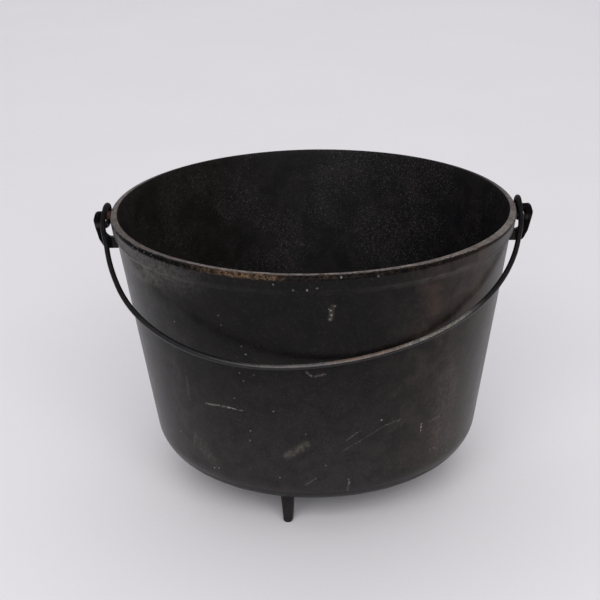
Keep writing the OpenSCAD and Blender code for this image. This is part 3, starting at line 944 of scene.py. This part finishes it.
def bail_material():
    n = Nodes("wire_iron_worn")
    coordinates = n.add("ShaderNodeTexCoord").outputs
    place = coordinates["Object"]
    x, _, _ = n.split(place)
    # painted highlight: the lighter worn tones are kept to the wire's top side, which catches the
    # light, and its underside stays dark as painted shade
    top_highlight_side = n.ramp(n.split(coordinates["Normal"])[2], 0.05, 0.75)
    grain = n.noise(place, 0.9, 3.0, 0.6)
    mottle = n.noise(place, 7, 4.0, 0.6, 0.4)
    base = n.mix(n.ramp(mottle, 0.3, 0.7), srgb(13, 12, 13), srgb(24, 22, 23))
    # the handled middle: lighter worn iron, and on its top side a painted highlight with pale
    # specks
    handled_and_highlight = n.math("MULTIPLY", n.ramp(x, -0.075, -0.005), n.ramp(x, 0.105, 0.125, 1, 0))
    handled_and_highlight = n.math("MULTIPLY", handled_and_highlight, top_highlight_side)
    base = n.mix(handled_and_highlight, base, n.mix(n.ramp(mottle, 0.3, 0.7), srgb(68, 65, 65),
                                      srgb(92, 88, 87)))
    brown = n.math("MULTIPLY", n.ramp(x, 0.004, 0.016), n.ramp(x, 0.055, 0.065, 1, 0))
    brown = n.math("MULTIPLY", brown, n.ramp(mottle, 0.3, 0.6, 0.3, 0.9))
    base = n.mix(n.math("MULTIPLY", brown, top_highlight_side), base, srgb(104, 87, 74))
    # a rubbed pale stretch with pale specks on the top side only: partly wear, partly painted
    # highlight
    rubbed_and_highlight = n.math("MULTIPLY", n.ramp(x, 0.055, 0.067), n.ramp(x, 0.098, 0.115, 1, 0))
    rubbed_and_highlight = n.math("MULTIPLY", rubbed_and_highlight, top_highlight_side)
    base = n.mix(n.math("MULTIPLY", rubbed_and_highlight, n.ramp(mottle, 0.3, 0.6, 0.2, 0.7)), base,
                 srgb(108, 104, 95))
    base = n.mix(n.math("MULTIPLY", rubbed_and_highlight, n.ramp(grain, 0.56, 0.64)), base,
                 srgb(150, 146, 138))
    base = n.mix(n.math("MULTIPLY", handled_and_highlight, n.ramp(grain, 0.58, 0.68, 0.0, 0.6)), base,
                 srgb(150, 142, 134))
    base = n.mix(n.ramp(grain, 0.3, 0.42, 0.55, 0.0), base, srgb(8, 8, 8))
    n.put(n.shader.inputs["Base Color"], base)
    n.put(n.shader.inputs["Roughness"], n.ramp(mottle, 0.2, 0.8, 0.27, 0.38))
    n.shader.inputs["Metallic"].default_value = 0.0
    n.put(n.shader.inputs["Specular IOR Level"],
          n.ramp(n.math("ABSOLUTE", x), 0.11, 0.15, 0.28, 0.06))
    n.put(n.shader.inputs["Normal"], n.bump(n.math("ADD", n.math("MULTIPLY", mottle, 0.7),
                                                   n.math("MULTIPLY", grain, 0.3)), 0.2, 0.6))
    return n.material


# ---------------------------------------------------------------- stage

def make_floor():
    size = 9.0
    mesh = bpy.data.meshes.new("floor")
    mesh.from_pydata([(-size, -size, 0), (size, -size, 0), (size, size, 0), (-size, size, 0)],
                     [], [(0, 1, 2, 3)])
    obj = bpy.data.objects.new("floor", mesh)
    bpy.context.scene.collection.objects.link(obj)
    n = Nodes("pale_floor")
    place = n.object_place()
    n.put(n.shader.inputs["Base Color"],
          n.mix(n.noise(place, 260, 2.0), srgb(231, 229, 231), srgb(226, 224, 226)))
    n.shader.inputs["Roughness"].default_value = 0.7
    n.shader.inputs["Specular IOR Level"].default_value = 0.2
    clear = n.add("ShaderNodeBsdfTransparent")
    both = n.add("ShaderNodeMixShader")
    n.put(both.inputs[0], n.add("ShaderNodeNewGeometry").outputs["Backfacing"])
    n.put(both.inputs[1], n.shader.outputs["BSDF"])
    n.put(both.inputs[2], clear.outputs[0])
    n.put(n.output.inputs["Surface"], both.outputs[0])
    mesh.materials.append(n.material)


def area_light(name, place, target, size, watts):
    data = bpy.data.lights.new(name, "AREA")
    data.shape = "RECTANGLE"
    data.size, data.size_y = size
    data.energy = watts
    obj = bpy.data.objects.new(name, data)
    obj.location = place
    way = Vector(target) - Vector(place)
    obj.rotation_mode = "QUATERNION"
    obj.rotation_quaternion = way.to_track_quat("-Z", "Y")
    bpy.context.scene.collection.objects.link(obj)


def make_world():
    world = bpy.data.worlds.new("pale")
    world.use_nodes = True
    background = world.node_tree.nodes["Background"]
    background.inputs["Color"].default_value = (*srgb(226, 225, 230), 1)
    background.inputs["Strength"].default_value = 0.7
    bpy.context.scene.world = world


# Camera: turned and placed as in the photograph
CAMERA_PLACE = (-0.013184, -1.046295, 0.566707)
CAMERA_PITCH, CAMERA_YAW, CAMERA_ROLL = 0.384428528, 0.00148568, -0.0194268909
CAMERA_LENS, SENSOR = 84.244, 36.0


def make_camera():
    p, w, roll = CAMERA_PITCH, CAMERA_YAW, CAMERA_ROLL
    ahead = Vector((math.sin(w) * math.cos(p), math.cos(w) * math.cos(p), -math.sin(p)))
    right = Vector((math.cos(w), -math.sin(w), 0))
    up = right.cross(ahead)
    right2 = math.cos(roll) * right + math.sin(roll) * up
    up2 = -math.sin(roll) * right + math.cos(roll) * up
    data = bpy.data.cameras.new("camera")
    data.lens, data.sensor_width, data.sensor_fit = CAMERA_LENS, SENSOR, "HORIZONTAL"
    obj = bpy.data.objects.new("camera", data)
    turn = Matrix((right2, up2, -ahead)).transposed()
    obj.matrix_world = Matrix.Translation(CAMERA_PLACE) @ turn.to_4x4()
    bpy.context.scene.collection.objects.link(obj)
    bpy.context.scene.camera = obj


make_camera()
iron = casting_material()
wire = bail_material()
pieces = [
    make_pot(),
    make_gate(),
    make_ear(-1, "ear_left", "left_ear", SEED + 20),
    make_ear(1, "ear_right", "right_ear", SEED + 30),
    make_leg(-90 - LEG_TURN, "leg_front", "front_leg", SEED + 40),
    make_leg(30 - LEG_TURN, "leg_right", "right_leg", SEED + 50),
    make_leg(150 - LEG_TURN, "leg_left", "left_leg", SEED + 60),
]
for piece in pieces:
    piece.data.materials.append(iron)
make_bail().data.materials.append(wire)

make_floor()
make_world()
area_light("soft_front", (0.0, -2.4, 1.8), (0, 0.1, 0), (3.6, 1.6), 70)
area_light("soft_back", (0.0, 2.3, 3.0), (0, 2.1, 0), (4.5, 2.4), 34)

scene = bpy.context.scene
scene.view_settings.view_transform = "Standard"

bpy.context.view_layer.update()
